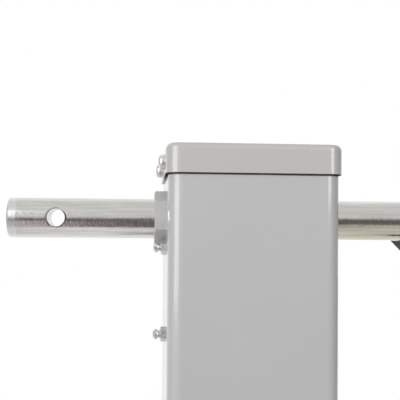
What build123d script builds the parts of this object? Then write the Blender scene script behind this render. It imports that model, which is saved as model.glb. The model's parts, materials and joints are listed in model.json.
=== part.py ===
from build123d import *

import math
import os

os.makedirs("parts", exist_ok=True)

# Side-wind screw jack leg, fully retracted. Millimetres.
# Origin: centre of the foot plate's underside. X runs along the drive shaft, with the crank at
# +X and the plain shaft end at -X. -Y is the front, Z is up.

# ---------------------------------------------------------------- driving dimensions
SHAFT_Z = 540.0  # drive shaft axis above the ground
STROKE = 240.0  # travel of the inner leg
RUN_GAP = 0.05  # radial gap of a running fit
FIT_GAP = 0.02  # radial gap of a fixed fit

TUBE = 100.0
TUBE_WALL = 4.0
TUBE_CORNER = 8.0
TUBE_BOTTOM = 66.0
BORE = TUBE - 2 * TUBE_WALL

CAP_SHEET = 1.2
CAP_GAP = 0.3
CAP_OUT = TUBE + 2 * (CAP_SHEET + CAP_GAP)
CAP_CORNER = TUBE_CORNER + CAP_GAP
CAP_TOP = SHAFT_Z + 42.8
CAP_RIM = SHAFT_Z + 25.4
CAP_EDGE_R = 3.5
GASKET_T = 2.4
TUBE_TOP = CAP_TOP - CAP_SHEET - GASKET_T

CAP_SCREW_R = 2.5
CAP_SCREW_PLACES = ((-1, -30.0), (-1, 30.0), (1, 0.0))  # side of the tube, and Y
CAP_SCREW_Z = SHAFT_Z + 33.1
PAN_HEAD_R = 4.6
PAN_HEAD_H = 3.9
PAN_EDGE_R = 2.2
CROSS_W = 1.2
CROSS_L = 5.0
CROSS_DEPTH = 2.5

SHAFT_R = 12.5
SHAFT_LEFT = -147.7
SHAFT_RIGHT = 137.0
CROSS_HOLE_R = 5.5
CROSS_HOLE_X = -117.8
PIVOT_X = 125.0
PIN_X = 36.0  # cross pins of the pinion and of the collar on the other side
PIN_R = 2.0

BUSH_FLAT = 31.0
BUSH_HEX_T = 7.0
BUSH_SPIGOT_R = 15.5
BUSH_INNER = 43.0
BUSH_TURN = 7.0  # degrees that the left bushing's front flat is turned upwards

NIPPLE_Y = -12.0
NIPPLE_UPPER_Z = SHAFT_Z - 17.9
NIPPLE_LOWER_Z = SHAFT_Z - 71.5
NIPPLE_FLATS = 8.0
NIPPLE_HEX_T = 3.0
NIPPLE_BALL_R = 3.2
NIPPLE_H = 7.8

MODULE = 2.5
TEETH = 20
PITCH_R = MODULE * TEETH / 2
GEAR_FACE = 9.0
PRESSURE_ANGLE = math.radians(20)
BACKLASH = 0.2

JOURNAL_R = 10.0
SCREW_R = 14.0
SCREW_TOP = SHAFT_Z - 15.0
GEAR_HUB_BOTTOM = SHAFT_Z - 43.0
PLATE_TOP = SHAFT_Z - 45.0
PLATE_T = 12.0
PLATE_BOTTOM = PLATE_TOP - PLATE_T
RACE_T = 3.0
RACE_R = 22.0
BALL_R = 3.0
BALL_CIRCLE_R = 16.5
BALLS = 14
BALL_Z = PLATE_BOTTOM - RACE_T - BALL_R - 0.01
COLLAR_TOP = BALL_Z - BALL_R - RACE_T - 0.01
COLLAR_T = 8.0
GEAR_PIN_R = 2.5
GEAR_PIN_Z = GEAR_HUB_BOTTOM + 6

MOUNT_W = 170.0
MOUNT_H = 160.0
MOUNT_T = 8.0
MOUNT_CORNER = 12.0
MOUNT_Z = 280.0
MOUNT_PITCH_X = 140.0
MOUNT_PITCH_Z = 120.0
MOUNT_HOLE_R = 6.5

LEG = 86.0
LEG_WALL = 5.0
LEG_CORNER = 7.0
LEG_TOP = SHAFT_Z - 92.0
FOOT = 160.0
FOOT_T = 10.0
FOOT_CORNER = 12.0
FOOT_HOLE_R = 7.0
FOOT_HOLE_PITCH = 120.0
GUSSET = 32.0
GUSSET_T = 6.0

NUT_PLATE_T = 12.0
NUT_FLANGE_R = 30.0
NUT_FLANGE_T = 8.0
NUT_R = 20.0
NUT_BOTTOM = SHAFT_Z - 132.0
NUT_SCREW_CIRCLE_R = 25.0
STOP_Z = NUT_BOTTOM - STROKE - 13.0
SCREW_BOTTOM = STOP_Z - 7.0
STOP_PIN_Z = SCREW_BOTTOM + 2.8

COLLAR_W = 6.0  # thickness of the band welded round the tube's mouth
COLLAR_H = 14.0
MOUTH_SCREW_PITCH = TUBE - 2 * TUBE_CORNER + math.sqrt(2) * (TUBE_CORNER + COLLAR_W / 2)

PAD_T = 2.8
PAD_W = 60.0
PAD_H = 40.0
PAD_BOTTOM = TUBE_BOTTOM + 6.0
PAD_SCREW_Y = 18.0
PAD_SCREW_R = 2.0

YOKE_TOP_R = 16.5
YOKE_GAP = 13.2  # half the slot between the fork's ears
YOKE_HALF = 18.0
YOKE_LIP_X = 103.0
YOKE_LIP_Z = -12.9
YOKE_CROTCH_Z = -19.0
YOKE_END_Z = -52.0
YOKE_STEM = 11.0
PIVOT_R = 5.0

BAR_R = 8.0
BAR_BEND_R = 24.0
CRANK_DROP = 105.0
CRANK_ARM = 130.0
GRIP_X = PIVOT_X + CRANK_ARM
GRIP_TOP = SHAFT_Z - CRANK_DROP - 40.0
GRIP_L = 112.0
GRIP_R = 15.0


# ---------------------------------------------------------------- helpers
def disc(radius, z0, z1, hole=0.0):
    """A round bar or a ring on the Z axis."""
    solid = Pos(0, 0, (z0 + z1) / 2) * Cylinder(radius, z1 - z0)
    if hole:
        solid -= Pos(0, 0, (z0 + z1) / 2) * Cylinder(hole, z1 - z0 + 2)
    return solid


def along_x(solid, z=SHAFT_Z):
    """A solid made on the Z axis, laid along X at height z."""
    return Pos(0, 0, z) * Rot(0, 90, 0) * solid


def rod_x(radius, x0, x1, y=0.0, z=SHAFT_Z):
    return Pos((x0 + x1) / 2, y, z) * Rot(0, 90, 0) * Cylinder(radius, x1 - x0)


def rod_y(radius, y0, y1, x=0.0, z=SHAFT_Z):
    return Pos(x, (y0 + y1) / 2, z) * Rot(90, 0, 0) * Cylinder(radius, y1 - y0)


def block(x0, x1, y0, y1, z0, z1):
    return Pos((x0 + x1) / 2, (y0 + y1) / 2, (z0 + z1) / 2) * Box(x1 - x0, y1 - y0, z1 - z0)


def square_bar(side, corner, z0, z1):
    return Pos(0, 0, z0) * extrude(RectangleRounded(side, side, corner), z1 - z0)


def square_ring(side, corner, wall, z0, z1):
    inner = square_bar(side - 2 * wall, max(corner - wall, 0.5), z0 - 1, z1 + 1)
    return square_bar(side, corner, z0, z1) - inner


def quarter_turns(solid):
    """Four copies of a solid, a quarter turn apart about Z."""
    return [Rot(0, 0, 90 * n) * solid for n in range(4)]


def four_corners(solid, pitch):
    """Four copies of a solid at the corners of a square."""
    half = pitch / 2
    return [Pos(x, y, 0) * solid for x in (-half, half) for y in (-half, half)]


def hex_bar(flats, z0, z1):
    outline = RegularPolygon(flats / 2, 6, major_radius=False)
    return Pos(0, 0, z0) * extrude(outline, z1 - z0)


def group(solids):
    """Separate solids that share one node."""
    return Compound(children=list(solids))


def turned(points):
    """A solid of revolution about Z, from an outline of (radius, z) points."""
    outline = make_face(Polyline([(r, 0, z) for r, z in points], close=True))
    return revolve(outline, Axis.Z)


# ---------------------------------------------------------------- housing
def outer_tube():
    tube = square_ring(TUBE, TUBE_CORNER, TUBE_WALL, TUBE_BOTTOM, TUBE_TOP)
    tube -= rod_x(BUSH_SPIGOT_R + FIT_GAP, -TUBE, TUBE)
    for hole in cap_screw_holes(CAP_SCREW_R):
        tube -= hole
    for z in (NIPPLE_UPPER_Z, NIPPLE_LOWER_Z):
        tube -= rod_x(3.0, -TUBE, 0, NIPPLE_Y, z)
    for hole in pad_screw_rods(PAD_SCREW_R, 0, TUBE):
        tube -= hole
    return tube


def cap_screw_holes(radius):
    """Rods through the side walls where the lid's screws go."""
    return [rod_x(radius, *sorted((0, side * TUBE)), y, CAP_SCREW_Z) for side, y in CAP_SCREW_PLACES]


def top_cap():
    outside = square_bar(CAP_OUT, CAP_CORNER, CAP_RIM, CAP_TOP)
    outside = fillet(outside.faces().sort_by(Axis.Z)[-1].edges(), CAP_EDGE_R)
    inside_side = TUBE + 2 * CAP_GAP
    inside = square_bar(inside_side, CAP_CORNER - CAP_SHEET, CAP_RIM - 5, CAP_TOP - CAP_SHEET)
    inside = fillet(inside.faces().sort_by(Axis.Z)[-1].edges(), CAP_EDGE_R - CAP_SHEET)
    cap = outside - inside
    for hole in cap_screw_holes(CAP_SCREW_R + 0.4):
        cap -= hole
    return cap


def cap_gasket():
    return square_ring(TUBE - TUBE_WALL, 5.0, 4.0, TUBE_TOP, TUBE_TOP + GASKET_T)


def pan_head_screw(length):
    """A pan-head screw on the Z axis, head up, with the head's underside at z = 0."""
    head = disc(PAN_HEAD_R, 0, PAN_HEAD_H)
    head = fillet(head.edges().sort_by(Axis.Z)[-1], PAN_EDGE_R)
    floor = PAN_HEAD_H - CROSS_DEPTH
    recess = block(-CROSS_W / 2, CROSS_W / 2, -CROSS_L / 2, CROSS_L / 2, floor, PAN_HEAD_H + 1)
    head -= recess
    head -= Rot(0, 0, 90) * recess
    return head + disc(CAP_SCREW_R - FIT_GAP, -length, 0)


def cap_screws():
    screws = []
    for side, y in CAP_SCREW_PLACES:
        place = Pos(side * CAP_OUT / 2, y, CAP_SCREW_Z) * Rot(0, side * 90, 0)
        screws.append(place * Rot(0, 0, 25) * pan_head_screw(9.0))
    return group(screws)


def shaft_bushing(side):
    """The right bushing for side = 1, the left one for side = -1. The hexagon's outer corners
    are turned off at a slant."""
    face = TUBE / 2
    hexagon = hex_bar(BUSH_FLAT, face, face + BUSH_HEX_T)
    wide = BUSH_FLAT / 2 + 4
    narrow = BUSH_FLAT / 2 + 0.7
    shoulder = face + BUSH_HEX_T - 1.4
    end = face + BUSH_HEX_T
    cone = turned([(0, face - 1), (wide, face - 1), (wide, shoulder), (narrow, end), (0, end)])
    body = (hexagon & cone) + disc(BUSH_SPIGOT_R, BUSH_INNER, face)
    body -= disc(SHAFT_R + RUN_GAP, 0, TUBE)
    return along_x(Rot(0, 180 if side < 0 else 0, BUSH_TURN) * body)


def grease_nipple(z):
    """A ball-headed grease nipple that stands out of the left wall."""
    face = TUBE / 2
    top = face + NIPPLE_HEX_T
    hexagon = hex_bar(NIPPLE_FLATS, face, top)
    hexagon &= turned([(0, face), (4.7, face), (4.7, top - 0.6), (3.9, top), (0, top)])
    tip = face + NIPPLE_H
    neck_r = 2.1
    stem = turned(
        [
            (0, face - 5),
            (2.9, face - 5),
            (2.9, top + 0.4),
            (neck_r, top + 0.9),
            (neck_r, tip - 3.4),
            (NIPPLE_BALL_R, tip - 2.5),
            (NIPPLE_BALL_R, tip - 1.4),
            (neck_r + 0.1, tip - 0.3),
            (0.8, tip),
            (0, tip),
        ]
    )
    return Pos(0, NIPPLE_Y, z) * Rot(0, -90, 0) * (hexagon + stem)


def bearing_plate():
    plate = square_bar(BORE - 0.1, TUBE_CORNER - TUBE_WALL, PLATE_BOTTOM, PLATE_TOP)
    return plate - disc(13.0 + FIT_GAP, PLATE_BOTTOM - 1, PLATE_TOP + 1)


def screw_bush():
    bush = disc(13.0, PLATE_BOTTOM, PLATE_TOP) + disc(18.0, PLATE_TOP, PLATE_TOP + 1.9)
    return bush - disc(JOURNAL_R + RUN_GAP, PLATE_BOTTOM - 1, PLATE_TOP + 3)


def bearing_upper_race():
    return disc(RACE_R, PLATE_BOTTOM - RACE_T, PLATE_BOTTOM, 11.0)


def bearing_lower_race():
    return disc(RACE_R, COLLAR_TOP, COLLAR_TOP + RACE_T, JOURNAL_R + FIT_GAP)


def pad_screw_rods(radius, x0, x1):
    """Rods where the guide pads' screws go: two through each wall near the tube's mouth."""
    z = PAD_BOTTOM + PAD_H / 2
    rods = []
    for y in (-PAD_SCREW_Y, PAD_SCREW_Y):
        rods += quarter_turns(rod_x(radius, x0, x1, y, z))
    return rods


def lower_guide_pads():
    top = PAD_BOTTOM + PAD_H
    pad = block(BORE / 2 - PAD_T, BORE / 2, -PAD_W / 2, PAD_W / 2, PAD_BOTTOM, top)
    pads = group(quarter_turns(pad))
    holes = pad_screw_rods(PAD_SCREW_R, 0, TUBE)
    return group([solid - holes for solid in pads.solids()])


def guide_pad_screws():
    """Low domed screws through the tube's walls that hold the pads."""
    z = PAD_BOTTOM + PAD_H / 2
    screws = []
    for y in (-PAD_SCREW_Y, PAD_SCREW_Y):
        shank = rod_x(PAD_SCREW_R - FIT_GAP, BORE / 2 - PAD_T + 1, TUBE / 2, y, z)
        head = rod_x(2 * PAD_SCREW_R, TUBE / 2, TUBE / 2 + 1.6, y, z)
        head = fillet(head.edges().sort_by(Axis.X)[-1], 1.2)
        screws += quarter_turns(shank + head)
    return group(screws)


def mouth_ring(wall, z0, z1, hole_r):
    """A square ring as wide as the end collar, with the retainer screws' holes."""
    ring = square_ring(TUBE + 2 * COLLAR_W, TUBE_CORNER + COLLAR_W, wall, z0, z1)
    for hole in four_corners(disc(hole_r, z0 - 1, z1 + 1), MOUTH_SCREW_PITCH):
        ring -= hole
    return ring


def end_collar():
    return mouth_ring(COLLAR_W - FIT_GAP, TUBE_BOTTOM, TUBE_BOTTOM + COLLAR_H, 2.0)


def wiper_seal():
    wall = COLLAR_W + (TUBE - LEG) / 2 - 0.3
    return mouth_ring(wall, TUBE_BOTTOM - 4, TUBE_BOTTOM, 2.6)


def wiper_retainer():
    return mouth_ring(COLLAR_W + 4, TUBE_BOTTOM - 6, TUBE_BOTTOM - 4, 2.3)


def retainer_screws():
    head = disc(3.4, TUBE_BOTTOM - 8.4, TUBE_BOTTOM - 6)
    head = fillet(head.edges().sort_by(Axis.Z)[0], 1.5)
    screw = head + disc(2.0 - FIT_GAP, TUBE_BOTTOM - 6, TUBE_BOTTOM + 10)
    return group(four_corners(screw, MOUTH_SCREW_PITCH))


def mounting_plate():
    """The plate on the tube's back that bolts the leg to a frame."""
    outline = RectangleRounded(MOUNT_W, MOUNT_H, MOUNT_CORNER)
    outline -= GridLocations(MOUNT_PITCH_X, MOUNT_PITCH_Z, 2, 2) * Circle(MOUNT_HOLE_R)
    plate = Pos(0, TUBE / 2, MOUNT_Z) * Rot(-90, 0, 0) * extrude(outline, MOUNT_T)
    return plate


# ---------------------------------------------------------------- mitre gears
def tooth_space(scale):
    """One tooth space of a gear on +Z with its cone's apex at the origin, cut across the pitch
    cone at the given share of the full cone distance. The flanks are involutes of the gear
    unrolled on its back cone."""
    cone = math.radians(45)
    distance = PITCH_R / math.sin(cone)
    virtual_r = PITCH_R / math.cos(cone)
    virtual_teeth = TEETH / math.cos(cone)
    base_r = virtual_r * math.cos(PRESSURE_ANGLE)
    half_tooth = math.pi / (2 * virtual_teeth) + involute(PRESSURE_ANGLE)
    flank = []
    for level in (-1.25, -0.8, -0.3, 0.2, 0.6, 1.0, 1.5):
        radius = virtual_r + level * MODULE
        angle = math.acos(min(base_r / radius, 1.0))
        half_space = math.pi / virtual_teeth - half_tooth + involute(angle)
        width = radius * math.sin(half_space) + BACKLASH / 2
        flank.append((radius * math.cos(half_space) - virtual_r, width))
    outline = flank + [(height, -width) for height, width in reversed(flank)]
    points = []
    for height, width in outline:
        radial = distance * math.sin(cone) + height * math.cos(cone)
        axial = distance * math.cos(cone) - height * math.sin(cone)
        points.append((radial * scale, width * scale, axial * scale))
    return Wire.make_polygon(points, close=True)


def involute(angle):
    return math.tan(angle) - angle


def mitre_gear(bore_r, hub_r, hub_end, first_space):
    """A mitre gear on +Z, apex of its pitch cone at the origin, hub away from the apex."""
    step = MODULE / math.sqrt(2)
    toe = 1 - GEAR_FACE / (PITCH_R * math.sqrt(2))
    tip_r = PITCH_R + step
    tip_z = PITCH_R - step
    root = 1.3 * step
    blank = turned(
        [
            (bore_r, tip_z * toe),
            (tip_r * toe, tip_z * toe),
            (tip_r, tip_z),
            (PITCH_R - root - 1, PITCH_R + root + 1),
            (hub_r, PITCH_R + root + 1),
            (hub_r, hub_end),
            (bore_r, hub_end),
        ]
    )
    space = Solid.make_loft([tooth_space(1.2), tooth_space(0.6)], ruled=True)
    pitch = 360 / TEETH
    return blank - [Rot(0, 0, first_space + pitch * n) * space for n in range(TEETH)]


def bevel_pinion():
    gear = mitre_gear(SHAFT_R + FIT_GAP, 18.0, 42.0, 0.0)
    return along_x(gear) - rod_y(PIN_R + FIT_GAP, -30, 30, PIN_X)


def bevel_gear():
    gear = mitre_gear(JOURNAL_R + FIT_GAP, 17.0, SHAFT_Z - GEAR_HUB_BOTTOM, 180.0 / TEETH)
    gear = Pos(0, 0, SHAFT_Z) * Rot(180, 0, 0) * gear
    gear -= key_slot(0.05)
    return gear - rod_y(GEAR_PIN_R + FIT_GAP, -30, 30, 0, GEAR_PIN_Z)


def key_slot(gap):
    """The room of the gear's parallel key, with a gap all round."""
    return block(-3 - gap, 3 + gap, 6.5 - gap, 12.5 + gap, SCREW_TOP - 16 - gap, SCREW_TOP + gap)


def gear_key():
    return key_slot(0.0)


def gear_pin():
    return rod_y(GEAR_PIN_R, -16.5, 16.5, 0, GEAR_PIN_Z)


# ---------------------------------------------------------------- drive shaft
def drive_shaft():
    shaft = rod_x(SHAFT_R, SHAFT_LEFT, SHAFT_RIGHT)
    shaft = chamfer(shaft.edges().filter_by(GeomType.CIRCLE), 0.8)
    for x in (CROSS_HOLE_X, PIVOT_X):
        shaft -= rod_y(CROSS_HOLE_R, -20, 20, x)
        for side in (-1, 1):
            countersink = Cone(CROSS_HOLE_R, CROSS_HOLE_R + 4, 4)
            shaft -= Pos(x, side * (SHAFT_R + 0.9), SHAFT_Z) * Rot(-90 * side, 0, 0) * countersink
    for x in (-PIN_X, PIN_X):
        shaft -= rod_y(PIN_R + FIT_GAP, -20, 20, x)
    return shaft


def pinion_pin():
    return rod_y(PIN_R, -17.0, 17.0, PIN_X)


def thrust_washers():
    washer = along_x(disc(18.0, 42.0 + 0.05, BUSH_INNER - 0.05, SHAFT_R + RUN_GAP))
    return group([washer, Rot(0, 0, 180) * washer])


def shaft_collar():
    collar = along_x(disc(19.0, -42.0, -30.0, SHAFT_R + FIT_GAP))
    collar = chamfer(collar.edges().filter_by(GeomType.CIRCLE).sort_by(SortBy.RADIUS)[-2:], 0.8)
    return collar - rod_y(PIN_R + FIT_GAP, -30, 30, -PIN_X)


def collar_pin():
    return rod_y(PIN_R, -18.0, 18.0, -PIN_X)


# ---------------------------------------------------------------- lift screw
def lift_screw():
    """The screw's body, at its thread's outside radius: the thread itself isn't cut."""
    screw = disc(JOURNAL_R, COLLAR_TOP, SCREW_TOP)
    screw += disc(RACE_R, COLLAR_TOP - COLLAR_T, COLLAR_TOP)
    screw += disc(SCREW_R, STOP_Z, COLLAR_TOP - COLLAR_T)
    screw += disc(JOURNAL_R, SCREW_BOTTOM, STOP_Z)
    screw = chamfer(screw.edges().sort_by(Axis.Z)[-1], 1.0)
    screw -= key_slot(0.05)
    screw -= rod_y(GEAR_PIN_R + FIT_GAP, -30, 30, 0, GEAR_PIN_Z)
    return screw - rod_y(PIN_R + FIT_GAP, -30, 30, 0, STOP_PIN_Z)


def stop_washer():
    return disc(24.0, SCREW_BOTTOM + 5, STOP_Z, JOURNAL_R + FIT_GAP)


def stop_pin():
    return rod_y(PIN_R, -14.0, 14.0, 0, STOP_PIN_Z)


def ball_cage():
    cage = disc(RACE_R - 0.5, BALL_Z - 1, BALL_Z + 1, 11.5)
    return cage - on_ball_circle(disc(BALL_R + 0.1, BALL_Z - 2, BALL_Z + 2))


def bearing_balls():
    return group(on_ball_circle(Pos(0, 0, BALL_Z) * Sphere(BALL_R)))


def on_ball_circle(solid):
    turn = 360 / BALLS
    return [Rot(0, 0, turn * n) * Pos(BALL_CIRCLE_R, 0, 0) * solid for n in range(BALLS)]


# ---------------------------------------------------------------- inner leg
def inner_leg():
    return square_ring(LEG, LEG_CORNER, LEG_WALL, FOOT_T, LEG_TOP)


def nut_plate():
    side = LEG - 2 * LEG_WALL - 0.1
    plate = square_bar(side, 3.0, LEG_TOP - NUT_PLATE_T, LEG_TOP)
    plate -= disc(NUT_R + 0.1, 0, SHAFT_Z)
    for hole in quarter_turns(Pos(NUT_SCREW_CIRCLE_R, 0, 0) * disc(2.5, 0, SHAFT_Z)):
        plate -= hole
    return plate


def lift_nut():
    nut = disc(NUT_FLANGE_R, LEG_TOP, LEG_TOP + NUT_FLANGE_T) + disc(NUT_R, NUT_BOTTOM, LEG_TOP)
    nut -= disc(SCREW_R + RUN_GAP, NUT_BOTTOM - 1, SHAFT_Z)
    for hole in quarter_turns(Pos(NUT_SCREW_CIRCLE_R, 0, 0) * disc(2.7, 0, SHAFT_Z)):
        nut -= hole
    return nut


def nut_screws():
    top = LEG_TOP + NUT_FLANGE_T
    screw = disc(4.2, top, top + 4.0) + disc(2.5 - FIT_GAP, LEG_TOP - 10, top)
    screw -= hex_bar(4.0, top + 1.6, top + 5)
    return group(quarter_turns(Pos(NUT_SCREW_CIRCLE_R, 0, 0) * screw))


def upper_guide_pads():
    pad = block(LEG / 2, LEG / 2 + PAD_T, -PAD_W / 2, PAD_W / 2, LEG_TOP - PAD_H, LEG_TOP)
    return group(quarter_turns(pad))


def foot_plate():
    plate = square_bar(FOOT, FOOT_CORNER, 0, FOOT_T)
    plate = chamfer(plate.faces().sort_by(Axis.Z)[-1].edges(), 1.0)
    for hole in four_corners(disc(FOOT_HOLE_R, -1, FOOT_T + 1), FOOT_HOLE_PITCH):
        plate -= hole
    return plate


def foot_gussets():
    reach = LEG / 2
    outline = Polyline(
        [
            (reach, 0, FOOT_T),
            (reach + GUSSET - 4, 0, FOOT_T),
            (reach + GUSSET - 4, 0, FOOT_T + 5),
            (reach + 5, 0, FOOT_T + GUSSET),
            (reach, 0, FOOT_T + GUSSET),
        ],
        close=True,
    )
    gusset = extrude(make_face(outline), GUSSET_T / 2, dir=(0, 1, 0), both=True)
    return group(quarter_turns(gusset))


# ---------------------------------------------------------------- crank
def crank_yoke():
    """A forged fork astride the shaft's end. Its lip under the shaft stops the crank from
    swinging in towards the tube."""
    lip_run = PIVOT_X - YOKE_STEM - YOKE_LIP_X
    side = [
        (YOKE_LIP_X, YOKE_LIP_Z),
        (PIVOT_X - YOKE_TOP_R, YOKE_LIP_Z),
        (PIVOT_X - YOKE_TOP_R, 0),
        (PIVOT_X + YOKE_TOP_R, 0),
        (PIVOT_X + YOKE_TOP_R, YOKE_CROTCH_Z - 3),
        (PIVOT_X + YOKE_STEM, YOKE_CROTCH_Z - 12),
        (PIVOT_X + YOKE_STEM, YOKE_END_Z),
        (PIVOT_X - YOKE_STEM, YOKE_END_Z),
        (PIVOT_X - YOKE_STEM, YOKE_LIP_Z - lip_run),
    ]
    outline = Polyline([(x, 0, SHAFT_Z + z) for x, z in side], close=True)
    body = extrude(make_face(outline), YOKE_HALF, dir=(0, 1, 0), both=True)
    body += rod_y(YOKE_TOP_R, -YOKE_HALF, YOKE_HALF, PIVOT_X)
    slot_left = PIVOT_X - YOKE_TOP_R - 1
    slot_right = PIVOT_X + YOKE_TOP_R + 1
    crotch = SHAFT_Z + YOKE_CROTCH_Z
    body -= block(slot_left, slot_right, -YOKE_GAP, YOKE_GAP, crotch, SHAFT_Z + 30)
    body -= rod_y(PIVOT_R + 0.1, -30, 30, PIVOT_X)
    return body - Pos(PIVOT_X, 0, SHAFT_Z + YOKE_END_Z + 7) * Cylinder(BAR_R + FIT_GAP, 16)


def crank_bar():
    bend_z = SHAFT_Z - CRANK_DROP
    end_z = GRIP_TOP - GRIP_L - 1
    path = FilletPolyline(
        (PIVOT_X, 0, SHAFT_Z + YOKE_END_Z + 14.8),
        (PIVOT_X, 0, bend_z),
        (GRIP_X, 0, bend_z),
        (GRIP_X, 0, end_z),
        radius=BAR_BEND_R,
    )
    bar = sweep(Plane(path @ 0, z_dir=path % 0) * Circle(BAR_R), path)
    return bar - Pos(GRIP_X, 0, end_z) * Cylinder(3.0, 40)


def pivot_bolt():
    under = -YOKE_HALF - 2
    bolt = rod_y(PIVOT_R, under, YOKE_HALF + 15, PIVOT_X)
    head = Pos(PIVOT_X, under, SHAFT_Z) * Rot(90, 0, 0) * hex_bar(17.0, 0, 6.4)
    return bolt + head


def pivot_nut():
    face = YOKE_HALF + 2
    nut = Pos(PIVOT_X, face, SHAFT_Z) * Rot(-90, 0, 0) * hex_bar(17.0, 0, 9.5)
    return nut - rod_y(PIVOT_R + FIT_GAP, 0, 50, PIVOT_X)


def pivot_washers():
    washers = []
    for side in (-1, 1):
        inner = side * YOKE_HALF
        outer = side * (YOKE_HALF + 2)
        washer = rod_y(10.5, min(inner, outer), max(inner, outer), PIVOT_X)
        washers.append(washer - rod_y(PIVOT_R + 0.25, -30, 30, PIVOT_X))
    return group(washers)


def grip_collar():
    return Pos(GRIP_X, 0, 0) * disc(12.0, GRIP_TOP + 0.5, GRIP_TOP + 6.5, BAR_R + FIT_GAP)


def handle_grip():
    bottom = GRIP_TOP - GRIP_L
    body = disc(GRIP_R, bottom, GRIP_TOP)
    body = fillet(body.edges().filter_by(GeomType.CIRCLE), 4.0)
    return Pos(GRIP_X, 0, 0) * (body - disc(BAR_R + RUN_GAP, bottom - 1, GRIP_TOP + 1))


def grip_washer():
    top = GRIP_TOP - GRIP_L - 1
    return Pos(GRIP_X, 0, 0) * disc(12.0, top - 2, top, 3.3)


def grip_screw():
    under = GRIP_TOP - GRIP_L - 3
    screw = disc(6.0, under - 4, under) + disc(3.0 - FIT_GAP, under, under + 18)
    screw -= hex_bar(4.0, under - 5, under - 1.6)
    return Pos(GRIP_X, 0, 0) * screw


NODES = {
    "outer_tube": outer_tube(),
    "top_cap": top_cap(),
    "cap_gasket": cap_gasket(),
    "cap_screws": cap_screws(),
    "left_shaft_bushing": shaft_bushing(-1),
    "right_shaft_bushing": shaft_bushing(1),
    "upper_grease_nipple": grease_nipple(NIPPLE_UPPER_Z),
    "lower_grease_nipple": grease_nipple(NIPPLE_LOWER_Z),
    "bearing_plate": bearing_plate(),
    "screw_bush": screw_bush(),
    "bearing_upper_race": bearing_upper_race(),
    "lower_guide_pads": lower_guide_pads(),
    "guide_pad_screws": guide_pad_screws(),
    "end_collar": end_collar(),
    "wiper_seal": wiper_seal(),
    "wiper_retainer": wiper_retainer(),
    "retainer_screws": retainer_screws(),
    "mounting_plate": mounting_plate(),
    "drive_shaft": drive_shaft(),
    "bevel_pinion": bevel_pinion(),
    "pinion_pin": pinion_pin(),
    "thrust_washers": thrust_washers(),
    "shaft_collar": shaft_collar(),
    "collar_pin": collar_pin(),
    "lift_screw": lift_screw(),
    "bevel_gear": bevel_gear(),
    "gear_key": gear_key(),
    "gear_pin": gear_pin(),
    "bearing_lower_race": bearing_lower_race(),
    "stop_washer": stop_washer(),
    "stop_pin": stop_pin(),
    "ball_cage": ball_cage(),
    "bearing_balls": bearing_balls(),
    "inner_leg": inner_leg(),
    "nut_plate": nut_plate(),
    "lift_nut": lift_nut(),
    "nut_screws": nut_screws(),
    "upper_guide_pads": upper_guide_pads(),
    "foot_plate": foot_plate(),
    "foot_gussets": foot_gussets(),
    "crank_yoke": crank_yoke(),
    "crank_bar": crank_bar(),
    "pivot_bolt": pivot_bolt(),
    "pivot_nut": pivot_nut(),
    "pivot_washers": pivot_washers(),
    "grip_collar": grip_collar(),
    "handle_grip": handle_grip(),
    "grip_washer": grip_washer(),
    "grip_screw": grip_screw(),
}

for name, solid in NODES.items():
    export_step(solid, f"parts/{name}.step")
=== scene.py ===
import json
import math

import bmesh
import bpy
from mathutils import Matrix, Vector

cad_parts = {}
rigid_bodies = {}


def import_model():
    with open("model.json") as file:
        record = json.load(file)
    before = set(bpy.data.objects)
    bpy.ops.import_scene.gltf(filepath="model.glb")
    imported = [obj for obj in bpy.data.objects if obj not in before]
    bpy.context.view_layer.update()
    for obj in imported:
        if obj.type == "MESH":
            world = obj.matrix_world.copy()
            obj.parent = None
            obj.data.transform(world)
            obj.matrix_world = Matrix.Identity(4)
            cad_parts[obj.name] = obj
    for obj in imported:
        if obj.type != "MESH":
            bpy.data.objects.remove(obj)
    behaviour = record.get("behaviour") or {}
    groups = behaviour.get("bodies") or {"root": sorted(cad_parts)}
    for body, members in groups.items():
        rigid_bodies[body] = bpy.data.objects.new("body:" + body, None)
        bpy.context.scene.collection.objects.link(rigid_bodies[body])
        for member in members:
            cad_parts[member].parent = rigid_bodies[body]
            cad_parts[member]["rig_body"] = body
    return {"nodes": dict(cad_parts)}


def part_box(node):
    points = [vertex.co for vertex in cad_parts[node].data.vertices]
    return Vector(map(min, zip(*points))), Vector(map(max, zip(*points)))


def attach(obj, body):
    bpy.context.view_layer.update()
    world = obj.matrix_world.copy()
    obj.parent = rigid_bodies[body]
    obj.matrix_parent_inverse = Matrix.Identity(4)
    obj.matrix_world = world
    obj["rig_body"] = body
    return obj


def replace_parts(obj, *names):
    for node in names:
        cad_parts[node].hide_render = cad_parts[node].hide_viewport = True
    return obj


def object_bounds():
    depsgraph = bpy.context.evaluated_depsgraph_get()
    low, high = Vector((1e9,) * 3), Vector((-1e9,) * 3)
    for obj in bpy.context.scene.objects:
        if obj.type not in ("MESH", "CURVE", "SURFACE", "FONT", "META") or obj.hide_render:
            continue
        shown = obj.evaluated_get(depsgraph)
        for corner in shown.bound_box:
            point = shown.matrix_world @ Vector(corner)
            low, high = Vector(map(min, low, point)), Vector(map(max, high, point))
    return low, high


# The looks of a side-wind screw jack leg. Metres, in the CAD row frame: X runs along the drive
# shaft, -Y is the front, Z is up. MM turns millimetres into metres. Colours are linear.

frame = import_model()
cad_low, cad_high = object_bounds()

MM = 0.001


# ---------------------------------------------------------------- places read from the CAD nodes
def centre(node):
    low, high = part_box(node)
    return (low + high) / 2


def size(node):
    low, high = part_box(node)
    return high - low


SHAFT = centre("drive_shaft")
SHAFT_END_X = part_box("drive_shaft")[0].x
LAND_X = SHAFT_END_X + 5.6 * MM
CROSS_HOLE_X = SHAFT_END_X + 29.9 * MM
CROSS_HOLE_R = 5.5 * MM
LID_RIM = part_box("top_cap")[0].z
LID_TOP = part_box("top_cap")[1].z


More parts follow.
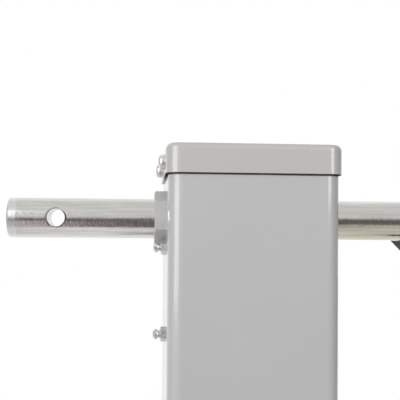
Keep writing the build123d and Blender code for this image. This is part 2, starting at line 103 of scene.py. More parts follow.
# ---------------------------------------------------------------- colours
WHITE = (1.0, 1.0, 1.0)
BODY_GREY = (0.410, 0.411, 0.416)
LID_GREY = (0.406, 0.400, 0.391)
DUST = (0.36, 0.33, 0.28)
DUST_FILM = (0.40, 0.385, 0.36)
# The near-black of the shadow painted under the lid's rim.
RIM_SHADOW_BLACK = (0.01, 0.01, 0.01)
SHAFT_ZINC = (0.80, 0.79, 0.765)
SCREW_ZINC = (0.84, 0.83, 0.82)
YELLOWED_ZINC = (0.76, 0.70, 0.60)
TURNED_LAND = (0.80, 0.80, 0.805)
SAWN_END = (0.42, 0.42, 0.42)
# The dark painted as shade in the ring round the shaft's cross hole.
HOLE_SHADE_DARK = (0.12, 0.115, 0.11)
CAST_STEEL = (0.50, 0.492, 0.49)
MACHINED_STEEL = (0.56, 0.56, 0.57)
BRONZE = (0.62, 0.42, 0.20)
DARK_FLOWER = (0.50, 0.51, 0.52)
LIGHT_FLOWER = (0.60, 0.61, 0.62)
ZINC_STAIN = (0.50, 0.49, 0.46)
SCUFFED_ZINC = (0.8, 0.8, 0.8)
LEG_WELD = (0.5, 0.5, 0.5)
ENAMEL_DARK = (0.013, 0.012, 0.013)
ENAMEL_LIGHT = (0.024, 0.022, 0.023)
RUBBED_STEEL = (0.46, 0.45, 0.43)
BLACK_RUBBER = (0.022, 0.022, 0.023)
GRIP_RUBBER = (0.028, 0.028, 0.030)
NYLON = (0.72, 0.70, 0.64)
RUBBED_NYLON = (0.48, 0.46, 0.42)
FLOOR_DARK = (0.74, 0.725, 0.69)
FLOOR_LIGHT = (0.77, 0.755, 0.72)
DUSK_TINT = (1.0, 0.9, 0.91)
WARM_TINT = (0.87, 0.83, 0.72)


def shade(colour, amount):
    return tuple(c * amount for c in colour)


# ---------------------------------------------------------------- node trees
NOISE_RANGE = (0.3, 0.7)


class Graph:
    """A node tree in the making. Each call adds a node and returns its output socket."""

    def __init__(self, tree, coordinates):
        self.tree = tree
        self.place = self.add("ShaderNodeTexCoord").outputs[coordinates]

    def add(self, kind, **settings):
        node = self.tree.nodes.new(kind)
        for key, value in settings.items():
            setattr(node, key, value)
        return node

    def plug(self, value, socket):
        """Feeds a socket with another node's output, a number or a colour."""
        if isinstance(value, bpy.types.NodeSocket):
            self.tree.links.new(value, socket)
        elif isinstance(value, tuple):
            socket.default_value = (*value, 1.0)
        else:
            socket.default_value = value

    def along(self, axis):
        """The place along an axis."""
        split = self.add("ShaderNodeSeparateXYZ")
        self.plug(self.place, split.inputs[0])
        return split.outputs[axis]

    def spread(self, value, low, high, to_low=0.0, to_high=1.0):
        """A value's range low..high, spread smoothly over to_low..to_high."""
        node = self.add("ShaderNodeMapRange", interpolation_type="SMOOTHSTEP")
        for socket, number in zip(node.inputs, (value, low, high, to_low, to_high)):
            self.plug(number, socket)
        return node.outputs[0]

    def times(self, a, b):
        return self.combine("MULTIPLY", a, b)

    def combine(self, operation, a, b):
        node = self.add("ShaderNodeMath", operation=operation)
        self.plug(a, node.inputs[0])
        self.plug(b, node.inputs[1])
        return node.outputs[0]

    def toward(self, value, share, target):
        """value, moved towards target by share."""
        node = self.add("ShaderNodeMix")
        self.plug(share, node.inputs[0])
        self.plug(value, node.inputs[2])
        self.plug(target, node.inputs[3])
        return node.outputs[0]

    def blend(self, share, a, b):
        """Colour a where share is 0 and colour b where it is 1."""
        node = self.add("ShaderNodeMix", data_type="RGBA")
        self.plug(share, node.inputs["Factor"])
        self.plug(a, node.inputs[6])
        self.plug(b, node.inputs[7])
        return node.outputs[2]


class Look(Graph):
    """A node material in the making."""

    def __init__(self, name):
        self.material = bpy.data.materials.new(name)
        self.material.use_nodes = True
        super().__init__(self.material.node_tree, "Object")
        self.surface = self.tree.nodes["Principled BSDF"]

    def stretched(self, stretch):
        mapping = self.add("ShaderNodeMapping")
        self.plug(self.place, mapping.inputs["Vector"])
        mapping.inputs["Scale"].default_value = stretch
        return mapping.outputs["Vector"]

    def noise(self, scale, detail, stretch=None):
        node = self.add("ShaderNodeTexNoise")
        self.plug(self.stretched(stretch) if stretch else self.place, node.inputs["Vector"])
        node.inputs["Scale"].default_value = scale
        node.inputs["Detail"].default_value = detail
        return node.outputs["Fac"]

    def ranged(self, noise, to_low=0.0, to_high=1.0):
        """Noise, spread from its usual range over to_low..to_high."""
        return self.spread(noise, *NOISE_RANGE, to_low, to_high)

    def edges(self, radius):
        """1 on edges sharper than the radius, 0 on flat ground."""
        flat_cosine, edge_cosine = 0.995, 0.93
        rounded = self.add("ShaderNodeBevel", samples=4)
        rounded.inputs["Radius"].default_value = radius
        flat = self.add("ShaderNodeNewGeometry").outputs["Normal"]
        dot = self.add("ShaderNodeVectorMath", operation="DOT_PRODUCT")
        self.plug(rounded.outputs[0], dot.inputs[0])
        self.plug(flat, dot.inputs[1])
        return self.spread(dot.outputs["Value"], flat_cosine, edge_cosine)

    def relief(self, *layers):
        """Layers of (height, strength, depth in metres), the coarsest first."""
        normal = None
        for height, strength, depth in layers:
            node = self.add("ShaderNodeBump")
            self.plug(height, node.inputs["Height"])
            node.inputs["Strength"].default_value = strength
            node.inputs["Distance"].default_value = depth
            if normal:
                self.plug(normal, node.inputs["Normal"])
            normal = node.outputs["Normal"]
        self.plug(normal, self.surface.inputs["Normal"])

    def finish(self, colour, roughness, metallic=0.0, **extra):
        self.plug(colour, self.surface.inputs["Base Color"])
        self.plug(roughness, self.surface.inputs["Roughness"])
        self.plug(metallic, self.surface.inputs["Metallic"])
        for name, value in extra.items():
            self.plug(value, self.surface.inputs[name.replace("_", " ").title()])
        return self.material


# ---------------------------------------------------------------- paint
# Where the shadow painted under the lid's rim begins, and how it fades from front to back.
RIM_SHADOW_START = LID_RIM - 0.9 * MM
RIM_SHADOW_FRONT_Y = -20.0 * MM
RIM_SHADOW_BACK_Y = 30.0 * MM
DUST_STARTS_Z = 0.34
DUST_FULL_Z = 0.04


def painted_rim_shadow(look):
    """A painted shadow: a dark, ragged line just under the lid's rim, fainter towards the back.
    """
    raggedness = look.times(look.noise(90.0, 2.0), 0.3 * MM)
    ragged = look.combine("ADD", look.along("Z"), raggedness)
    line = look.times(
        look.spread(ragged, RIM_SHADOW_START, RIM_SHADOW_START + 0.25 * MM),
        look.spread(look.along("Z"), LID_RIM + 0.15 * MM, LID_RIM + 0.1 * MM),
    )
    return look.times(line, look.spread(look.along("Y"), RIM_SHADOW_FRONT_Y, RIM_SHADOW_BACK_Y, 1.0, 0.3))


def low_dust(look):
    """Specks of dust, more of them lower down."""
    low_down = look.spread(look.along("Z"), DUST_STARTS_Z, DUST_FULL_Z)
    specks = look.spread(look.noise(260.0, 4.0), 0.56, 0.72)
    return look.times(look.times(specks, low_down), 0.35)


def lid_dust(look):
    """A film of dust on the lid's flat top."""
    settled = look.spread(look.along("Z"), LID_TOP - 2.0 * MM, LID_TOP - 0.3 * MM)
    return look.times(settled, look.spread(look.noise(60.0, 4.0), 0.2, 0.6, 0.75, 1.0))


def grey_paint(name, colour):
    """Semi-gloss powder coat over sheet steel: orange peel, faint clouds, dust on the lid's top
    and low down, and a painted shadow under the lid's rim: a dark, matt line."""
    look = Look(name)
    rim_shadow, dust, film = painted_rim_shadow(look), low_dust(look), lid_dust(look)
    clouds = look.ranged(look.noise(7.0, 3.0))
    grain = look.spread(look.noise(1400.0, 1.0), 0.35, 0.65)
    tone = look.blend(clouds, shade(colour, 0.985), shade(colour, 1.012))
    tone = look.blend(look.times(grain, 0.25), tone, shade(colour, 0.96))
    tone = look.blend(dust, tone, DUST)
    # Painted shadow: the paint turns nearly black in the line under the lid's rim.
    tone = look.blend(look.times(rim_shadow, 0.85), tone, RIM_SHADOW_BLACK)
    tone = look.blend(look.times(film, 0.35), tone, DUST_FILM)
    roughness = look.ranged(look.noise(38.0, 4.0), 0.4, 0.46)
    roughness = look.combine("ADD", roughness, look.times(dust, 0.5))
    roughness = look.toward(roughness, film, 0.7)
    # The coat and the gloss go to nothing in the painted rim shadow, so that it stays dark.
    coat = look.toward(look.toward(1.0, film, 0.05), rim_shadow, 0.0)
    look.plug(look.toward(0.5, rim_shadow, 0.0), look.surface.inputs["Specular IOR Level"])
    waves = look.noise(14.0, 1.0)
    peel = look.noise(620.0, 2.0)
    look.relief((waves, 0.25, 0.6 * MM), (peel, 0.12, 0.12 * MM))
    return look.finish(tone, roughness, coat_weight=coat, coat_roughness=0.12)


def black_enamel():
    """Black enamel on forged steel, rubbed through to metal along the edges."""
    look = Look("black_enamel")
    forging = look.noise(120.0, 3.0)
    grain = look.noise(1200.0, 3.0)
    patches = look.spread(look.noise(220.0, 4.0), 0.47, 0.6)
    worn = look.times(look.edges(0.9 * MM), patches)
    tone = look.blend(look.ranged(forging), ENAMEL_DARK, ENAMEL_LIGHT)
    tone = look.blend(worn, tone, RUBBED_STEEL)
    roughness = look.ranged(grain, 0.46, 0.6)
    look.relief((forging, 0.4, 0.3 * MM), (grain, 0.3, 0.1 * MM))
    look.plug(0.12, look.surface.inputs["Specular IOR Level"])
    return look.finish(tone, roughness, look.times(worn, 0.9))


# ---------------------------------------------------------------- metals
# How noise is squeezed along each axis: a small number draws it out into lines.
LINES_ALONG_X = (0.05, 1, 1)
RINGS_ABOUT_Z = (0.05, 0.05, 1)
SHORT_FLECKS = (1, 0.6, 0.6)


def zinc_plate(name, colour, speckled):
    """Bright zinc plate on drawn steel: drawing marks along X and a fine speckle, whose relief is
    as strong as speckled says. Returns the look, its tone and its roughness."""
    look = Look(name)
    marks = look.noise(1500.0, 3.0, LINES_ALONG_X)
    speckle = look.noise(900.0, 3.0, SHORT_FLECKS)
    streaks = look.ranged(look.noise(800.0, 3.0, LINES_ALONG_X))
    tone = look.blend(streaks, shade(colour, 0.84), colour)
    warm = look.spread(look.noise(120.0, 3.0), 0.5, 0.75, 0.0, 0.5)
    tone = look.blend(warm, tone, YELLOWED_ZINC)
    roughness = look.ranged(speckle, 0.12, 0.24)
    look.relief((marks, 0.14, 0.05 * MM), (speckle, speckled, 0.06 * MM))
    return look, tone, roughness


def screw_zinc():
    """Duller zinc plate for screws and small fittings."""
    look, tone, roughness = zinc_plate("zinc_plate", SCREW_ZINC, 0.12)
    return look.finish(tone, look.combine("ADD", roughness, 0.14), 0.95)


def painted_hole_shade(look):
    """A thin, patchy ring of painted shade just round the cross hole."""
    flattened = look.add("ShaderNodeVectorMath", operation="MULTIPLY")
    look.plug(look.place, flattened.inputs[0])
    flattened.inputs[1].default_value = (1, 0, 1)
    reach = look.add("ShaderNodeVectorMath", operation="DISTANCE")
    look.plug(flattened.outputs[0], reach.inputs[0])
    reach.inputs[1].default_value = (CROSS_HOLE_X, 0, SHAFT.z)
    ring = look.times(
        look.spread(reach.outputs["Value"], CROSS_HOLE_R - 0.1 * MM, CROSS_HOLE_R + 0.1 * MM),
        look.spread(reach.outputs["Value"], CROSS_HOLE_R + 1.3 * MM, CROSS_HOLE_R + 0.5 * MM),
    )
    return look.times(ring, look.spread(look.noise(210.0, 3.0), 0.4, 0.6, 0.15, 0.6))


def shaft_zinc():
    """The drive shaft's plate: a satin turned land next to the free end, a sawn end face, and a
    ring of painted shade round the cross hole."""
    look, tone, roughness = zinc_plate("shaft_zinc", SHAFT_ZINC, 1.0)
    land = look.spread(look.along("X"), LAND_X, LAND_X - 0.3 * MM)
    tone = look.blend(land, tone, TURNED_LAND)
    roughness = look.toward(roughness, land, 0.26)
    sawn = look.spread(look.along("X"), SHAFT_END_X + 0.25 * MM, SHAFT_END_X + 0.1 * MM)
    tone = look.blend(sawn, tone, SAWN_END)
    roughness = look.toward(roughness, sawn, 0.5)
    # Painted shade: a dark, patchy ring round the cross hole.
    tone = look.blend(painted_hole_shade(look), tone, HOLE_SHADE_DARK)
    return look.finish(tone, roughness, 1.0)


def cast_steel():
    """Dull grey cast and turned steel with a fine sandy skin."""
    look = Look("cast_steel")
    sand = look.noise(1100.0, 4.0)
    clouds = look.ranged(look.noise(90.0, 3.0))
    tone = look.blend(clouds, shade(CAST_STEEL, 0.93), shade(CAST_STEEL, 1.04))
    roughness = look.ranged(sand, 0.42, 0.58)
    look.relief((look.noise(160.0, 2.0), 0.2, 0.2 * MM), (sand, 0.3, 0.08 * MM))
    return look.finish(tone, roughness, 0.2)


def turned_metal(name, colour, rough):
    """Machined metal with fine turning rings about Z and a trace of oil."""
    look = Look(name)
    rings = look.noise(1800.0, 2.0, RINGS_ABOUT_Z)
    oil = look.spread(look.noise(60.0, 4.0), 0.45, 0.7)
    tone = look.blend(oil, colour, shade(colour, 0.72))
    roughness = look.ranged(look.noise(200.0, 3.0), rough - 0.06, rough + 0.08)
    look.relief((rings, 0.3, 0.05 * MM))
    return look.finish(tone, roughness, 1.0)


def galvanised():
    """Hot-dip zinc with its crystal flowers, dulled, with scuffed edges."""
    look = Look("galvanised_steel")
    flowers = look.add("ShaderNodeTexVoronoi")
    look.plug(look.place, flowers.inputs["Vector"])
    flowers.inputs["Scale"].default_value = 150.0
    split = look.add("ShaderNodeSeparateColor")
    look.plug(flowers.outputs["Color"], split.inputs[0])
    lightness, dullness = split.outputs[0], split.outputs[1]
    tone = look.blend(look.spread(lightness, 0.0, 1.0), DARK_FLOWER, LIGHT_FLOWER)
    stain = look.spread(look.noise(35.0, 5.0), 0.5, 0.75)
    tone = look.blend(look.times(stain, 0.5), tone, ZINC_STAIN)
    tone = look.blend(look.times(look.edges(1.0 * MM), 0.5), tone, SCUFFED_ZINC)
    roughness = look.spread(dullness, 0.0, 1.0, 0.34, 0.52)
    look.relief((look.noise(70.0, 2.0), 0.3, 0.3 * MM), (look.noise(500.0, 3.0), 0.2, 0.1 * MM))
    return look.finish(tone, roughness, 0.8)


def weld_steel(name, colour):
    """A coated weld bead, darker in its ripples."""
    look = Look(name)
    ripple = look.noise(420.0, 4.0)
    tone = look.blend(look.ranged(ripple), shade(colour, 0.75), shade(colour, 1.02))
    look.relief((ripple, 0.5, 0.25 * MM))
    return look.finish(tone, look.ranged(ripple, 0.3, 0.48))


# ---------------------------------------------------------------- rubber and nylon
STREAKS_ALONG_Z = (1, 1, 0.15)


def rubber(name, colour, rough):
    """Moulded rubber with a matt, slightly bloomed skin."""
    look = Look(name)
    grain = look.noise(900.0, 3.0)
    bloom = look.spread(look.noise(55.0, 4.0), 0.45, 0.75, 0.0, 0.5)
    tone = look.blend(bloom, colour, shade(colour, 1.9))
    roughness = look.ranged(grain, rough - 0.08, rough + 0.08)
    look.relief((grain, 0.4, 0.12 * MM))
    return look.finish(tone, roughness)


def nylon():
    """Off-white slide pads, rubbed grey."""
    look = Look("nylon_pad")
    rubbed = look.spread(look.noise(80.0, 4.0, STREAKS_ALONG_Z), 0.45, 0.7)
    tone = look.blend(rubbed, NYLON, RUBBED_NYLON)
    look.relief((look.noise(700.0, 2.0), 0.2, 0.08 * MM))
    return look.finish(tone, look.spread(rubbed, 0.0, 1.0, 0.5, 0.36))


# ---------------------------------------------------------------- the CAD nodes' looks
LOOKS = {
    "body_paint": grey_paint("body_powder_coat", BODY_GREY),
    "lid_paint": grey_paint("lid_powder_coat", LID_GREY),
    "bright_zinc": screw_zinc(),
    "dull_steel": cast_steel(),
    "machined_steel": turned_metal("machined_steel", MACHINED_STEEL, 0.28),
    "bronze": turned_metal("bronze", BRONZE, 0.34),
    "rubber": rubber("black_rubber", BLACK_RUBBER, 0.6),
    "nylon": nylon(),
    "leg_zinc": galvanised(),
    "black_paint": black_enamel(),
    "grip_rubber": rubber("grip_rubber", GRIP_RUBBER, 0.55),
}
WELDS = {
    "housing": weld_steel("body_weld", BODY_GREY),
    "leg": weld_steel("leg_weld", LEG_WELD),
}
WELD_SLOTS = {"housing": "body_paint", "leg": "leg_zinc"}

for node in frame["nodes"].values():
    slot_name = node.data.materials[0].name
    node.data.materials[0] = LOOKS[slot_name]
frame["nodes"]["drive_shaft"].data.materials[0] = shaft_zinc()


# ---------------------------------------------------------------- piece helpers
SMOOTH_BELOW = math.radians(38)
CORNER_ANGLE = math.radians(35)
FLAT_ANGLE = math.radians(0.5)
SAME_POINT = 0.002 * MM


def piece(name, mesh, body, slot, material=None):
    """Turns a bmesh into a smooth-shaded piece that rides on a CAD body."""
    data = bpy.data.meshes.new(name)
    bmesh.ops.recalc_face_normals(mesh, faces=mesh.faces)
    mesh.to_mesh(data)
    mesh.free()
    data.materials.append(material or LOOKS[slot])
    data.shade_smooth()
    data.set_sharp_from_angle(angle=SMOOTH_BELOW)
    made = bpy.data.objects.new(name, data)
    made.modifiers.new("flat_faces", "WEIGHTED_NORMAL").keep_sharp = True
    bpy.context.scene.collection.objects.link(made)
    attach(made, body)
    return made


def body_of(node):
    return frame["nodes"][node]["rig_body"]


def softened(node, width):
    """A copy of a CAD node with its sharp edges rounded off, which stands for the node."""
    source = frame["nodes"][node]
    mesh = bmesh.new()
    mesh.from_mesh(source.data)
    bmesh.ops.remove_doubles(mesh, verts=mesh.verts, dist=SAME_POINT)
    bmesh.ops.dissolve_limit(mesh, angle_limit=FLAT_ANGLE, verts=mesh.verts, edges=mesh.edges)
    inner = [edge for edge in mesh.edges if len(edge.link_faces) == 2]
    bmesh.ops.bevel(
        mesh,
        geom=[edge for edge in inner if edge.calc_face_angle() > CORNER_ANGLE],
        offset=width,
        offset_type="OFFSET",
        segments=3,
        profile=0.5,
        affect="EDGES",
        clamp_overlap=True,
    )
    slot = next(name for name, look in LOOKS.items() if look == source.data.materials[0])
    made = piece(node + "_skin", mesh, body_of(node), slot)
    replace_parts(made, node)
    return made


def round_point(radius, n, count):
    """The n-th of count points round a circle."""
    turn = 2 * math.pi * n / count
    return radius * math.cos(turn), radius * math.sin(turn)


def skin(mesh, rings, closed=False):
    """Joins rings of vertices, each with its neighbour. The last is joined with the first if
    closed, or else both are capped."""
    pairs = list(zip(rings, rings[1:]))
    if closed:
        pairs.append((rings[-1], rings[0]))
    for low, high in pairs:
        for n in range(len(low)):
            after = (n + 1) % len(low)
            mesh.faces.new((low[n], low[after], high[after], high[n]))
    if not closed:
        mesh.faces.new(rings[0])
        mesh.faces.new(rings[-1])


def lathe(name, outline, middle, body, slot, segments=96):
    """A solid of revolution about an upright axis, from a closed outline of (radius, z)."""
    mesh = bmesh.new()
    rings = []
    for radius, z in outline:
        points = [round_point(radius, n, segments) for n in range(segments)]
        rings.append([mesh.verts.new((middle.x + x, middle.y + y, z)) for x, y in points])
    skin(mesh, rings, closed=True)
    return piece(name, mesh, body, slot)


# ---------------------------------------------------------------- welds
BEAD_STEP = 0.6 * MM
BEAD_SIDES = 10


def evenly(points, step, closed):
    """Points at an even spacing along a line of points."""
    line = [Vector(p) for p in points]
    if closed:
        line.append(line[0])
    found = []
    left_over = 0.0
    for a, b in zip(line, line[1:]):
        length = (b - a).length
        reach = left_over
        while reach < length:
            found.append(a.lerp(b, reach / length))
            reach += step
        left_over = reach - length
    return found


def bead_width(n, count, closed):
    """The ripple and the taper of a bead's n-th ring of count, as shares of its usual width."""
    ripple = 1 + 0.09 * math.sin(2.1 * n) + 0.06 * math.sin(0.31 * n + 1.0)
    taper = 1.0 if closed else min(1.0, 0.35 + 0.2 * min(n, count - 1 - n))
    return ripple, taper


def weld_bead(name, points, radius, body, closed=False):
    """A bead of weld with its ripples, along a line of points."""
    path = evenly(points, BEAD_STEP, closed)
    mesh = bmesh.new()
    rings = []
    for n, place in enumerate(path):
        before = path[n - 1] if n or closed else path[0]
        after = path[(n + 1) % len(path)] if n + 1 < len(path) or closed else path[-1]
        ahead = (after - before).normalized()
        across = ahead.orthogonal() if abs(ahead.z) > 0.9 else ahead.cross(Vector((0, 0, 1)))
        across.normalize()
        upward = across.cross(ahead)
        ripple, taper = bead_width(n, len(path), closed)
        ring = []
        for k in range(BEAD_SIDES):
            aside, rise = round_point(1.0, k, BEAD_SIDES)
            spoke = across * aside + upward * rise
            ring.append(mesh.verts.new(place + spoke * radius * ripple * taper))
        rings.append(ring)
    skin(mesh, rings, closed)
    return piece(name, mesh, body, WELD_SLOTS[body], WELDS[body])


def square_line(half, corner, z):
    """Points round a square with round corners."""
    points = []
    for n in range(4):
        side = math.pi / 2 * n
        middle_x = math.copysign(half - corner, math.cos(side + math.pi / 4))
        middle_y = math.copysign(half - corner, math.sin(side + math.pi / 4))
        for k in range(9):
            turn = math.pi / 2 * (n + k / 8)
            x = middle_x + corner * math.cos(turn)
            y = middle_y + corner * math.sin(turn)
            points.append((x, y, z))
    return points


def plate_welds():
    """Beads between the outer tube's back and the mounting plate."""
    plate_low, plate_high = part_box("mounting_plate")
    tube_low, tube_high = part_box("outer_tube")
    bead = 2.2 * MM
    from_side = 3 * MM
    from_end = 4 * MM
    y = plate_low.y - 0.4 * MM
    for side, x in (("left", tube_low.x + from_side), ("right", tube_high.x - from_side)):
        ends = [(x, y, plate_low.z + from_end), (x, y, plate_high.z - from_end)]
        weld_bead(f"plate_weld_{side}", ends, bead, "housing")
    reach = tube_high.x - 12 * MM
    y = plate_low.y + 1.0 * MM
    for side, z in (("lower", plate_low.z), ("upper", plate_high.z)):
        weld_bead(f"plate_weld_{side}", [(-reach, y, z), (reach, y, z)], bead, "housing")


def collar_weld():
    """A bead all round, where the end collar meets the tube."""
    half = size("outer_tube").x / 2
    line = square_line(half + 0.6 * MM, 8.6 * MM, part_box("end_collar")[1].z)
    weld_bead("collar_weld", line, 2.0 * MM, "housing", closed=True)


def foot_welds():
    """Beads round the leg's foot and along both sides of each gusset."""
    half = size("inner_leg").x / 2
    floor_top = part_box("foot_plate")[1].z
    line = square_line(half + 0.5 * MM, 7.5 * MM, floor_top)
    weld_bead("foot_weld", line, 2.0 * MM, "leg", closed=True)
    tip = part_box("foot_gussets")[1]
    gusset_side = 3.2 * MM
    short = 2 * MM
    floor = Vector((0, 0, floor_top))
    rise = Vector((0, 0, tip.z - floor_top - short))
    for n, (out_x, out_y) in enumerate(((1, 0), (0, 1), (-1, 0), (0, -1))):
        out = Vector((out_x, out_y, 0))
        for letter, side in (("a", -1), ("b", 1)):
            aside = Vector((-out_y, out_x, 0)) * gusset_side * side
            corner = out * half + aside + floor
            line = [corner + rise, corner, out * (tip.x - short) + aside + floor]
            weld_bead(f"gusset_weld_{n}{letter}", line, 1.4 * MM, "leg")


# ---------------------------------------------------------------- the crank's pieces
def grip_sleeve():
    """A ribbed rubber sleeve with a flange at each end."""
    low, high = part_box("handle_grip")
    middle = centre("handle_grip")
    widest = size("handle_grip").x / 2
    bore = 8.05 * MM
    end_face = widest - 2.5 * MM
    rounding = 2 * MM
    flange = 5.0 * MM
    pitch = 5.6 * MM
    groove = widest - 3.2 * MM
    rib = 1.3 * MM
    belly = 0.7 * MM
    corner = []
    for n in range(7):
        turn = math.pi / 2 * n / 6
        out = widest - rounding + rounding * math.sin(turn)
        corner.append((out, rounding * (1 - math.cos(turn))))
    start = low.z + flange + 1.5 * MM
    end = high.z - flange - 1.5 * MM
    ribs = []
    steps = 150
    for n in range(steps + 1):
        z = start + (end - start) * n / steps
        wave = abs(math.sin(math.pi * (z - start) / pitch)) ** 0.6
        swell = belly * math.sin(math.pi * (z - start) / (end - start))
        ribs.append((groove + swell + rib * wave, z))
    outline = [(bore, low.z), (end_face, low.z)]
    outline += [(out, low.z + rise) for out, rise in corner]
    outline += [(widest, low.z + flange), *ribs, (widest, high.z - flange)]
    outline += [(out, high.z - rise) for out, rise in reversed(corner)]
    outline += [(end_face, high.z), (bore, high.z)]
    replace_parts(lathe("grip_sleeve", outline, middle, "grip", "grip_rubber"), "handle_grip")


def hexagon(flats, sides):
    """The radii of a hexagon that measures flats across, at sides angles."""
    sixth = math.pi / 3
    corner = flats / math.sqrt(3)
    radii = []
    for n in range(sides):
        off_flat = (n * 2 * math.pi / sides) % sixth - math.pi / 6
        radii.append(corner * math.cos(math.pi / 6) / math.cos(off_flat))
    return radii


def pivot_bolt():
    """The crank's hinge bolt: a chamfered hex head, a plain shank and a cut thread."""
    low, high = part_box("pivot_bolt")
    middle = centre("pivot_bolt")
    flats = size("pivot_bolt").z
    thread_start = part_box("pivot_nut")[0].y
    sides = 72
    radius = 5.0 * MM
    under_head = low.y + 6.4 * MM
    end_chamfer = 1.0 * MM
    pitch = 1.5 * MM
    depth = 0.8 * MM
    mesh = bmesh.new()

    def ring(radii, y):
        points = [round_point(r, n, sides) for n, r in enumerate(radii)]
        return [mesh.verts.new((middle.x + x, y, middle.z + z)) for x, z in points]

    head = hexagon(flats, sides)
    chamfered = [min(r, flats / 2 + 0.3 * MM) for r in head]
    rings = [
        ring([r * 0.02 for r in chamfered], low.y),
        ring([min(r, flats / 2 - 0.6 * MM) for r in head], low.y),
        ring(chamfered, low.y + 0.5 * MM),
        ring(head, low.y + 1.3 * MM),
        ring(head, under_head),
        ring([radius] * sides, under_head),
        ring([radius] * sides, thread_start),
    ]
    steps = math.ceil((high.y - thread_start) / (pitch / 10))
    for step in range(1, steps + 1):
        y = thread_start + (high.y - thread_start) * step / steps
        chamfer = max(0.0, y - (high.y - end_chamfer))
        radii = []
        for n in range(sides):
            phase = (y / pitch - n / sides) % 1.0
            cut = depth * (1 - abs(2 * phase - 1)) if y > thread_start + pitch / 2 else 0.0
            radii.append(radius - max(cut, chamfer))
        rings.append(ring(radii, y))
    rings.append(ring([0.02 * MM] * sides, high.y))
    skin(mesh, rings)
    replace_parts(piece("hinge_bolt", mesh, "crank", "bright_zinc"), "pivot_bolt")


# ---------------------------------------------------------------- the studio
FLOOR_R = 1.2
FLOOR_GAP = 0.2 * MM
FRONT_GLOW = 0.70
TOP_GLOW = 0.74
LOW_GLOW = 0.86
RIGHT_GLOW = 0.18
LEFT_GLOW = 0.40
DARK_GLOW = 0.15
BACK_GLOW = 0.95
CAMERA_PLACE = (-0.0653, -0.4497, SHAFT.z - 0.010)
CAMERA_YAW = math.radians(3.95)
CAMERA_PITCH = math.radians(1.15)
CAMERA_ROLL = math.radians(0.44)


def studio_floor():
    """A round, pale floor under the object that fades out into the white surroundings. It goes
    down with the leg's foot."""
    mesh = bmesh.new()
    bmesh.ops.create_circle(mesh, cap_ends=True, segments=128, radius=FLOOR_R)
    data = bpy.data.meshes.new("studio_floor")
    mesh.to_mesh(data)
    mesh.free()
    floor = bpy.data.objects.new("studio_floor", data)
    floor.location = (0, 0, cad_low.z - FLOOR_GAP)
    look = Look("studio_floor")
    tone = look.blend(look.ranged(look.noise(9.0, 3.0)), FLOOR_DARK, FLOOR_LIGHT)
    look.relief((look.noise(300.0, 2.0), 0.05, 0.2 * MM))
    reach = look.add("ShaderNodeVectorMath", operation="LENGTH")
    look.plug(look.place, reach.inputs[0])
    shown = look.spread(reach.outputs["Value"], FLOOR_R * 0.4, FLOOR_R * 0.98, 1.0, 0.0)
    data.materials.append(look.finish(tone, 0.7, alpha=shown))
    floor.visible_glossy = False
    bpy.context.scene.collection.objects.link(floor)
    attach(floor, "leg")


def softbox(name, azimuth, elevation, distance, width, tall, power, flagged_off=()):
    """An area light that faces the head and doesn't reach the nodes it is flagged off from.
    Azimuth 0 is the front, positive to the right, in degrees."""
    light = bpy.data.lights.new(name, "AREA")
    light.shape = "RECTANGLE"
    light.size = width
    light.size_y = tall
    light.energy = power
    lamp = bpy.data.objects.new(name, light)
    a = math.radians(azimuth)
    e = math.radians(elevation)
    out = Vector((math.sin(a) * math.cos(e), -math.cos(a) * math.cos(e), math.sin(e)))
    lamp.location = SHAFT + out * distance
    lamp.rotation_mode = "QUATERNION"
    lamp.rotation_quaternion = (-out).to_track_quat("-Z", "Y")
    lamp.visible_camera = False
    bpy.context.scene.collection.objects.link(lamp)
    if flagged_off:
        shaded = bpy.data.collections.new(name + "_flags")
        for node in flagged_off:
            shaded.objects.link(frame["nodes"][node])
        lamp.light_linking.receiver_collection = shaded
        for member in shaded.collection_objects:
            member.light_linking.link_state = "EXCLUDE"


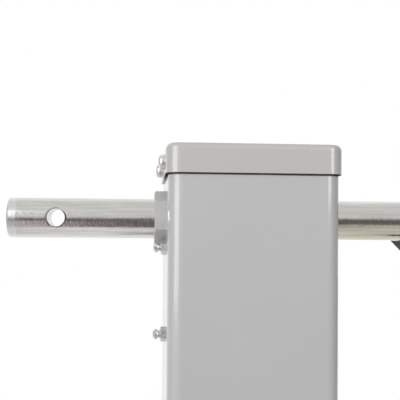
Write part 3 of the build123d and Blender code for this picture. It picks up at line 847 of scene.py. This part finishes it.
def studio_air():
    """White to the camera. What lights the object and what its metal mirrors is a dimmer glow
    that changes with the direction: darkest and slightly red in front below the horizon, dim at
    both sides, warm low on the right and bright behind. Directions run from -1 to 1 per axis."""
    world = bpy.data.worlds.new("studio")
    world.use_nodes = True
    world.node_tree.nodes.clear()
    air = Graph(world.node_tree, "Generated")
    x, y, z = (air.along(axis) for axis in "XYZ")

    overhead = air.spread(z, 0.5, 0.9)
    right = air.spread(x, 0.35, 0.8)
    left = air.spread(x, -0.5, -0.9)
    underneath = air.spread(z, -0.3, -0.6)
    behind = air.spread(y, 0.2, 0.7)
    horizon = air.spread(x, -0.1, 0.3, 0.0, 0.16)
    below = air.spread(air.combine("SUBTRACT", z, horizon), 0.10, -0.12)
    dark = air.times(air.spread(y, -0.5, -0.62), below)
    left_end = air.times(air.spread(x, -0.10, -0.16), air.spread(z, -0.22, -0.42))
    right_end = air.times(air.spread(x, 0.15, 0.3), air.spread(z, -0.38, -0.5))
    dark_ends = air.combine("MAXIMUM", left_end, right_end)
    low_right = air.times(air.spread(x, 0.1, 0.3), air.spread(z, 0.0, -0.3))

    glow = air.toward(FRONT_GLOW, overhead, TOP_GLOW)
    glow = air.toward(glow, right, RIGHT_GLOW)
    glow = air.toward(glow, left, LEFT_GLOW)
    glow = air.toward(glow, underneath, LOW_GLOW)
    glow = air.toward(glow, dark, DARK_GLOW)
    glow = air.toward(glow, dark_ends, FRONT_GLOW)
    glow = air.toward(glow, behind, BACK_GLOW)
    tint = air.blend(dark, WHITE, DUSK_TINT)
    tint = air.blend(low_right, tint, WARM_TINT)

    seen = air.add("ShaderNodeLightPath").outputs["Is Camera Ray"]
    background = air.add("ShaderNodeBackground")
    air.plug(air.blend(seen, tint, WHITE), background.inputs["Color"])
    air.plug(air.toward(glow, seen, 1.0), background.inputs["Strength"])
    air.plug(background.outputs[0], air.add("ShaderNodeOutputWorld").inputs[0])
    bpy.context.scene.world = world


def camera():
    """A long-lens view of the head, from the left of centre and just below the shaft."""
    data = bpy.data.cameras.new("camera")
    data.sensor_width = 36.0
    data.lens = 63.5
    data.shift_x = 0.025
    data.shift_y = 0.0515
    data.clip_start = 0.01
    made = bpy.data.objects.new("camera", data)
    level = Vector((math.sin(CAMERA_YAW), math.cos(CAMERA_YAW), 0.0))
    ahead = level * math.cos(CAMERA_PITCH) + Vector((0, 0, math.sin(CAMERA_PITCH)))
    right = Vector((math.cos(CAMERA_YAW), -math.sin(CAMERA_YAW), 0.0))
    up = right.cross(ahead)
    across = right * math.cos(CAMERA_ROLL) + up * math.sin(CAMERA_ROLL)
    upward = up * math.cos(CAMERA_ROLL) - right * math.sin(CAMERA_ROLL)
    turn = Matrix([list(row) for row in zip(across, upward, -ahead)])
    made.rotation_mode = "QUATERNION"
    made.rotation_quaternion = turn.to_quaternion()
    made.location = CAMERA_PLACE
    bpy.context.scene.collection.objects.link(made)
    bpy.context.scene.camera = made


# ---------------------------------------------------------------- the scene
SOFT_EDGES = {
    "crank_yoke": 1.2 * MM,
    "left_shaft_bushing": 0.35 * MM,
    "right_shaft_bushing": 0.35 * MM,
    "mounting_plate": 0.7 * MM,
    "foot_plate": 0.4 * MM,
    "foot_gussets": 0.5 * MM,
    "end_collar": 0.6 * MM,
    "pivot_nut": 0.5 * MM,
    "wiper_retainer": 0.3 * MM,
}
skins = {node_name: softened(node_name, edge) for node_name, edge in SOFT_EDGES.items()}
skins["crank_yoke"].visible_glossy = False  # black, it would darken the zinc that mirrors it
grip_sleeve()
plate_welds()
collar_weld()
foot_welds()
pivot_bolt()

studio_floor()
studio_air()
softbox("left_softbox", -44.5, 14, distance=1.6, width=1.1, tall=1.3, power=17.3)
softbox(
    "right_softbox", 32, 20, distance=1.6, width=0.5, tall=1.0, power=9.0,
    flagged_off=["drive_shaft"],
)
camera()
bpy.context.scene.view_settings.view_transform = "Standard"
